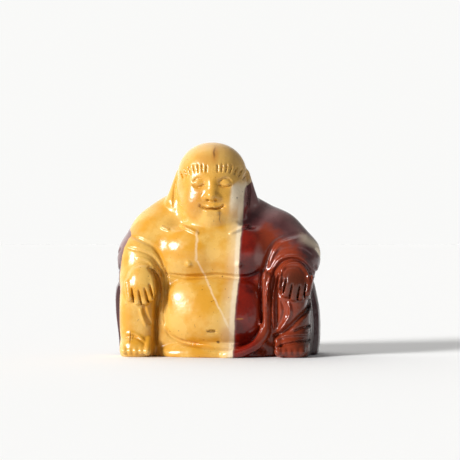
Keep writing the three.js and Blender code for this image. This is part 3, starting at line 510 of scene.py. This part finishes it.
def mesh_grid(values, axes):
    """One vertex in each grid cell that the surface crosses, joined across every crossed edge."""
    inside = values < 0
    shape = tuple(n - 1 for n in values.shape)
    filled = np.zeros(shape, np.int8)
    for i, j, k in np.ndindex(2, 2, 2):
        filled += inside[i : shape[0] + i, j : shape[1] + j, k : shape[2] + k]
    cells = np.argwhere((filled > 0) & (filled < 8))
    total = np.zeros((len(cells), 3))
    hits = np.zeros(len(cells))
    for corner in np.ndindex(2, 2, 2):
        for axis in range(3):
            if corner[axis]:
                continue
            step = np.eye(3, dtype=int)[axis]
            here = values[tuple((cells + corner).T)]
            there = values[tuple((cells + corner + step).T)]
            crossed = (here < 0) != (there < 0)
            t = here[crossed] / (here[crossed] - there[crossed])
            total[crossed] += np.array(corner) + t[:, None] * step
            hits[crossed] += 1
    origin = np.array([a[0] for a in axes])
    spacing = axes[0][1] - axes[0][0]
    points = origin + (cells + total / hits[:, None]) * spacing
    number = np.full(shape, -1)
    number[tuple(cells.T)] = np.arange(len(cells))
    quads = []
    for axis in range(3):
        u, v = np.eye(3, dtype=int)[[(axis + 1) % 3, (axis + 2) % 3]]
        first = np.take(inside, range(values.shape[axis] - 1), axis)
        second = np.take(inside, range(1, values.shape[axis]), axis)
        for outward in (True, False):
            edges = np.argwhere(first & ~second if outward else ~first & second)
            ring = [number[tuple((edges - shift).T)] for shift in (0 * u, u, u + v, v)]
            quads.append(np.stack(ring if outward else ring[::-1], 1))
    return points, np.vstack(quads)


def settle(points, step):
    """Moves each vertex onto the surface, along the field's slope."""
    x, y, z = points.astype(REAL).T
    reach = REAL(0.1)
    d = figure_distance(x, y, z)
    slope = np.stack(
        [
            figure_distance(x + reach, y, z) - d,
            figure_distance(x, y + reach, z) - d,
            figure_distance(x, y, z + reach) - d,
        ],
        1,
    ) / reach
    size = np.maximum((slope**2).sum(1), 0.25)
    move = np.clip(d / size, -step / 2, step / 2)
    return points - move[:, None] * slope


def carve():
    """The figure's mesh object, centred like the solid and standing on its sawn face."""
    values, axes = read_grid(GRID_LOW, GRID_HIGH, GRID)
    points, quads = mesh_grid(values, axes)
    points = settle(points, GRID)
    points[:, 2] = np.maximum(points[:, 2], 0)
    middle = (points.min(0) + points.max(0)) / 2
    points -= (middle[0], middle[1], 0)
    points *= (UNIT, UNIT, UNIT * 100 / points[:, 2].max())
    mesh = bpy.data.meshes.new("budai")
    mesh.from_pydata(points.tolist(), [], quads.tolist())
    figure = bpy.data.objects.new("budai", mesh)
    bpy.context.scene.collection.objects.link(figure)
    figure.data.shade_smooth()
    figure.data.set_sharp_from_angle(angle=math.radians(CREASE))
    return figure


# Stone: ochre, a cream band and red, with purple-brown behind


def srgb(red, green, blue):
    """A colour of 0 to 255 as the linear values that a shader takes."""
    linear = [((c / 255 + 0.055) / 1.055) ** 2.4 if c > 10 else c / 3294.6 for c in (red, green, blue)]
    return (*linear, 1)


OCHRE = srgb(216, 170, 84)
DEEP_OCHRE = srgb(206, 146, 42)
PALE_OCHRE = srgb(226, 192, 122)
CREAM = srgb(242, 226, 196)
RED = srgb(128, 26, 11)
DARK_RED = srgb(84, 14, 7)
PURPLE = srgb(126, 86, 84)
DARK_PURPLE = srgb(66, 32, 34)
LILAC = srgb(140, 106, 102)
RUSSET = srgb(130, 50, 26)
RUST = srgb(176, 104, 30)
UMBER = srgb(84, 44, 22)
DARK_UMBER = srgb(60, 28, 13)
STONE_IOR = 1.54


class Graph:
    """Builds a material's nodes from expressions."""

    def __init__(self, tree):
        self.tree = tree

    def put(self, socket, value):
        if isinstance(value, bpy.types.NodeSocket):
            self.tree.links.new(value, socket)
        else:
            socket.default_value = value

    def math(self, operation, a, b=0, c=0):
        node = self.tree.nodes.new("ShaderNodeMath")
        node.operation = operation
        for socket, value in zip(node.inputs, (a, b, c)):
            self.put(socket, value)
        return node.outputs[0]

    def times(self, a, b):
        return self.math("MULTIPLY", a, b)

    def linear(self, start, *terms):
        """start plus each socket times its weight."""
        total = start
        for socket, weight in terms:
            total = self.math("MULTIPLY_ADD", socket, weight, total)
        return total

    def ramp(self, value, low, high):
        """From 0 at low to 1 at high, smoothly."""
        node = self.tree.nodes.new("ShaderNodeMapRange")
        node.interpolation_type = "SMOOTHSTEP"
        self.put(node.inputs["Value"], value)
        self.put(node.inputs["From Min"], low)
        self.put(node.inputs["From Max"], high)
        return node.outputs["Result"]

    def from_oval(self, across, half_width, along, half_height):
        """The distance from the middle of an oval, which is 1 on its edge."""
        across = self.math("DIVIDE", across, half_width)
        along = self.math("DIVIDE", along, half_height)
        return self.math("SQRT", self.math("MULTIPLY_ADD", across, across, self.times(along, along)))

    def noise(self, vector, scale, detail=2):
        node = self.tree.nodes.new("ShaderNodeTexNoise")
        self.put(node.inputs["Vector"], vector)
        self.put(node.inputs["Scale"], scale)
        self.put(node.inputs["Detail"], detail)
        return node.outputs["Fac"]

    def split(self, vector):
        node = self.tree.nodes.new("ShaderNodeSeparateXYZ")
        self.put(node.inputs[0], vector)
        return node.outputs

    def mix(self, factor, a, b):
        node = self.tree.nodes.new("ShaderNodeMix")
        node.data_type = "RGBA"
        self.put(node.inputs["Factor"], factor)
        self.put(node.inputs["A"], a)
        self.put(node.inputs["B"], b)
        return node.outputs["Result"]


# Marks in the front of the stone, stains and pits, and a few patches of painted shade and painted light:
# place in X and Z, half width, half height, strength, colour
MARKS = (
    ((0, 93.5), 2.2, 5.5, 0.5, RUST),
    ((-0.4, 94.5), 0.6, 3.2, 0.6, UMBER),
    ((2.5, 64.2), 0.32, 2.8, 0.55, UMBER),
    ((3.6, 37), 0.4, 0.45, 0.9, UMBER),
    ((12.2, 17.8), 2, 0.6, 0.8, RUST),
    ((2.2, 7.1), 1, 0.8, 0.9, UMBER),
    ((-4.5, 8), 0.7, 0.6, 0.5, RUST),
    ((-0.4, 12), 2.6, 0.5, 0.7, UMBER),
    ((6, 10.5), 3.5, 4.5, 0.35, RUST),
    ((-38.6, 8.5), 0.35, 3.6, 0.8, UMBER),
    ((-37.4, 9.4), 0.3, 1.6, 0.7, UMBER),
    ((38, 34), 8, 9.5, 0.8, DARK_UMBER),
    # Painted shade: the red robe and leg darkened towards the outer right, where the light falls off.
    ((43, 13), 8, 22, 0.65, DARK_UMBER),
    # Painted shadow: the hollow under the right ear darkened, partly the stone's own dark purple.
    ((17.5, 63.5), 6, 6, 0.85, DARK_PURPLE),
    # Painted shade: dark purple in the right end of the crease under the chest.
    ((18.5, 38.6), 5, 2, 0.7, DARK_PURPLE),
    ((20.6, 47), 2.4, 6, 0.5, LILAC),
    # Painted light: the shaded right ear lightened to lilac, partly the stone's own lilac.
    ((17, 76), 3, 8.5, 0.9, LILAC),
    ((-9, 72), 6, 9, 0.35, RUST),
    ((-5, 91), 5, 4, 0.3, RUST),
)


class Stone(Graph):
    """The bands of the stone, by place in percent of the height, and the noises they share."""

    def __init__(self, tree):
        super().__init__(tree)
        scaled = tree.nodes.new("ShaderNodeVectorMath")
        scaled.operation = "SCALE"
        scaled.inputs["Scale"].default_value = 1 / UNIT
        self.put(scaled.inputs[0], tree.nodes.new("ShaderNodeTexCoord").outputs["Object"])
        self.place = scaled.outputs[0]
        self.x, self.y, self.z = self.split(self.place)
        self.broad = self.math("SUBTRACT", self.noise(self.place, 0.05), 0.5)
        self.fine = self.math("SUBTRACT", self.noise(self.place, 0.35, 4), 0.5)
        self.cloud = self.noise(self.place, 0.09, 5)
        self.head = self.ramp(self.z, 62, 74)
        self.brow = self.ramp(self.z, 78, 84)

        # How far a place lies beyond the plane between cream and red, which leans away over the head
        leaning = self.linear(-9.4, (self.x, 1), (self.z, -0.057), (self.brow, -4))
        self.seam = self.linear(leaning, (self.broad, 1.2), (self.fine, 0.7))
        self.beyond = self.ramp(self.seam, -0.25, 0.25)

    def ochre(self):
        """Clouded ochre, deeper on the face and paler over the crown."""
        colour = self.mix(self.ramp(self.cloud, 0.36, 0.6), DEEP_OCHRE, OCHRE)
        colour = self.mix(self.times(self.head, 0.6), colour, DEEP_OCHRE)
        crown = self.ramp(self.linear(self.z, (self.x, 0.6), (self.fine, 8)), 76, 98)
        return self.mix(self.times(crown, 0.4), colour, PALE_OCHRE)

    def creaminess(self):
        """How far the ochre turns to cream towards the seam, most of all on the cheek."""
        haze = self.times(self.ramp(self.linear(self.seam, (self.broad, 3)), -8, -2), 0.35)
        edge = self.times(self.ramp(self.seam, -3, -1.6), 0.45)
        cheek = self.times(self.ramp(self.seam, -7, -5.2), self.math("SUBTRACT", self.head, self.brow))
        cheek = self.times(cheek, self.ramp(self.y, 3, -8))
        cream = self.math("MAXIMUM", self.math("ADD", haze, edge), self.times(cheek, 0.9))
        return self.times(cream, self.linear(1, (self.brow, -0.6)))

    def red(self):
        """Clouded red, browner on the robe and the leg."""
        colour = self.mix(self.ramp(self.cloud, 0.38, 0.6), DARK_RED, RED)
        return self.mix(self.ramp(self.linear(self.x, (self.fine, 6)), 17, 24), colour, RUSSET)

    def purple(self):
        """Mottled purple, dark low down, and lighter at the head as painted light on its shaded side."""
        mottle = self.noise(self.place, 0.07, 3)
        low = self.ramp(self.z, 46, 30)
        # The head term lightens the purple: painted light on the ear and the side of the face, which turn
        # away from the key.
        shade = self.linear(0.1, (mottle, 1), (low, 0.35), (self.head, -0.3))
        return self.mix(self.ramp(shade, 0.25, 0.95), PURPLE, DARK_PURPLE)

    def left_flank(self):
        """Where purple takes over from ochre, on the viewer's left and behind."""
        shoulder = self.ramp(self.z, 56, 60)
        depth = self.linear(-27.8, (self.y, 1), (self.x, -0.9), (shoulder, -8))
        return self.ramp(self.linear(depth, (self.broad, 4), (self.fine, 2)), -0.5, 0.6)

    def right_flank(self):
        """Where purple takes over from red, on the viewer's right and behind."""
        depth = self.linear(4, (self.y, 1), (self.x, 0.3), (self.broad, 8), (self.fine, 4))
        return self.ramp(depth, -2, 2.5)

    def worn(self):
        """A worn pale patch on the outside of the far arm."""
        along = self.linear(-26, (self.y, 1), (self.z, 0.5), (self.broad, 24), (self.fine, 3))
        up = self.linear(-49.5, (self.z, 1), (self.y, 0.3), (self.broad, 16), (self.fine, 3))
        patch = self.ramp(self.from_oval(along, 15, up, 6.5), 1.3, 0.3)
        return self.times(self.times(patch, self.ramp(self.x, 37, 43)), 0.75)

    def rim(self):
        """A thin dull line where cream meets red."""
        line = self.times(self.ramp(self.seam, -0.5, -0.1), self.ramp(self.seam, 1, 0.2))
        return self.times(line, 0.55)

    def vein(self):
        """A pale vein, upright on the chest and slanting across the belly, as far as the seam."""
        upright = self.linear(8.1, (self.x, 1), (self.broad, 2), (self.fine, 1.6))
        upright = self.math("ABSOLUTE", upright)
        upper = self.times(self.ramp(self.z, 43.5, 45), self.ramp(self.z, 61, 55))
        upper = self.times(self.ramp(upright, 0.9, 0.1), upper)
        slanting = self.linear(-12.8, (self.x, 0.895), (self.z, 0.446), (self.fine, 1.4))
        slanting = self.math("ABSOLUTE", slanting)
        lower = self.times(self.ramp(slanting, 0.75, 0.1), self.ramp(self.z, 45, 44))
        line = self.times(self.math("MAXIMUM", upper, lower), self.ramp(self.y, -8, -12))
        return self.times(self.times(line, self.ramp(self.seam, 0.3, -0.3)), 0.4)

    def marked(self, colour):
        """The colour with the stains and pits of the front and the painted shade and light among the
        marks, and with rare specks all over.
        """
        front = self.ramp(self.y, -4, -8)
        for (u, v), half_width, half_height, strength, tint in MARKS:
            across = self.linear(-u, (self.x, 1), (self.fine, 1.2))
            along = self.linear(-v, (self.z, 1), (self.fine, 1.2))
            mark = self.ramp(self.from_oval(across, half_width, along, half_height), 1.2, 0.3)
            colour = self.mix(self.times(self.times(mark, strength), front), colour, tint)
        specks = self.ramp(self.noise(self.place, 0.9, 1), 0.72, 0.79)
        return self.mix(self.times(specks, 0.55), colour, UMBER)

    def colour(self):
        purple = self.purple()
        light_side = self.mix(self.creaminess(), self.ochre(), CREAM)
        light_side = self.mix(self.left_flank(), light_side, purple)
        dark_side = self.mix(self.right_flank(), self.red(), purple)
        dark_side = self.mix(self.worn(), dark_side, CREAM)
        both = self.mix(self.beyond, light_side, dark_side)
        both = self.mix(self.rim(), both, PURPLE)
        return self.marked(self.mix(self.vein(), both, CREAM))

    def polish(self):
        """Roughness: a close polish, closest on the red side."""
        return self.linear(0.22, (self.cloud, 0.1), (self.beyond, -0.08))

    def ripple(self):
        """Faint unevenness left by polishing."""
        bump = self.tree.nodes.new("ShaderNodeBump")
        bump.inputs["Strength"].default_value = 0.25
        bump.inputs["Distance"].default_value = 0.4 * UNIT
        self.put(bump.inputs["Height"], self.noise(self.place, 0.5, 1))
        return bump.outputs[0]


def stone_material():
    material = bpy.data.materials.new("banded stone")
    material.use_nodes = True
    stone = Stone(material.node_tree)
    shader = material.node_tree.nodes["Principled BSDF"]
    shader.inputs["IOR"].default_value = STONE_IOR
    stone.put(shader.inputs["Base Color"], stone.colour())
    stone.put(shader.inputs["Roughness"], stone.polish())
    stone.put(shader.inputs["Normal"], stone.ripple())
    return material


figure = carve()
figure.data.materials.append(stone_material())
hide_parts("budai_figure")
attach(figure, "root")


# Floor, light and camera


TO_KEY = (-0.755, -0.545, 0.365)
KEY_STRENGTH = 4.45
KEY_ANGLE = 18
ROOM_LIGHT = (0.12, 0.12, 0.13, 1)
BRIGHT_WALL = (1.6, 1.6, 1.58, 1)
SHADED_WALL = (0.32, 0.31, 0.3, 1)
BACKGROUND = (0.95, 0.95, 0.938, 1)
FLOOR_HALF = 3  # metres
FLOOR_COLOUR = (0.92, 0.92, 0.91, 1)
FLOOR_ROUGHNESS = 0.7


def floor_material():
    material = bpy.data.materials.new("pale floor")
    material.use_nodes = True
    shader = material.node_tree.nodes["Principled BSDF"]
    shader.inputs["Base Color"].default_value = FLOOR_COLOUR
    shader.inputs["Roughness"].default_value = FLOOR_ROUGHNESS
    shader.inputs["Specular IOR Level"].default_value = 0
    return material


def add_floor():
    mesh = bpy.data.meshes.new("floor")
    corners = [(-1, -1), (1, -1), (1, 1), (-1, 1)]
    mesh.from_pydata([(FLOOR_HALF * u, FLOOR_HALF * v, 0) for u, v in corners], [], [(0, 1, 2, 3)])
    mesh.materials.append(floor_material())
    floor = bpy.data.objects.new("floor", mesh)
    bpy.context.scene.collection.objects.link(floor)


def turn_from(thing, direction):
    """Turns a light or a camera so that it looks against a direction."""
    thing.rotation_mode = "QUATERNION"
    thing.rotation_quaternion = Vector(direction).to_track_quat("Z", "Y")


def add_key():
    """One bright source, low and far to the left, that throws a soft-edged shadow."""
    light = bpy.data.lights.new("key", "SUN")
    light.energy = KEY_STRENGTH
    light.angle = math.radians(KEY_ANGLE)
    key = bpy.data.objects.new("key", light)
    bpy.context.scene.collection.objects.link(key)
    turn_from(key, TO_KEY)


def add_world():
    """A studio that is bright behind the figure and dim before it, on a plain pale background."""
    world = bpy.data.worlds.new("studio")
    world.use_nodes = True
    g = Graph(world.node_tree)
    background = world.node_tree.nodes["Background"]
    direction = world.node_tree.nodes.new("ShaderNodeTexCoord").outputs["Generated"]
    across, away, _ = g.split(direction)
    seen = world.node_tree.nodes.new("ShaderNodeLightPath").outputs["Is Camera Ray"]
    wall = g.mix(g.ramp(across, -0.3, 0.4), BRIGHT_WALL, SHADED_WALL)
    lit = g.mix(g.ramp(away, -0.15, 0.3), ROOM_LIGHT, wall)
    g.put(background.inputs["Color"], g.mix(seen, lit, BACKGROUND))
    bpy.context.scene.world = world


# The photograph's viewpoint: a little to the viewer's right of straight ahead, and level
AZIMUTH = 4.3
DISTANCE = 792
ACROSS = 6.0
UP = 58.6
FOCAL = 1674 / 460  # in widths of the image
SENSOR = 36


def add_camera():
    a = math.radians(AZIMUTH)
    forward = Vector((-math.sin(a), math.cos(a), 0))
    right = Vector((math.cos(a), math.sin(a), 0))
    camera = bpy.data.cameras.new("camera")
    camera.sensor_width = SENSOR
    camera.lens = FOCAL * SENSOR
    camera.clip_start = 0.01
    holder = bpy.data.objects.new("camera", camera)
    holder.location = (right * ACROSS + Vector((0, 0, UP)) - forward * DISTANCE) * UNIT
    bpy.context.scene.collection.objects.link(holder)
    turn_from(holder, -forward)
    bpy.context.scene.camera = holder


add_floor()
add_world()
add_key()
add_camera()
bpy.context.scene.view_settings.view_transform = "Standard"
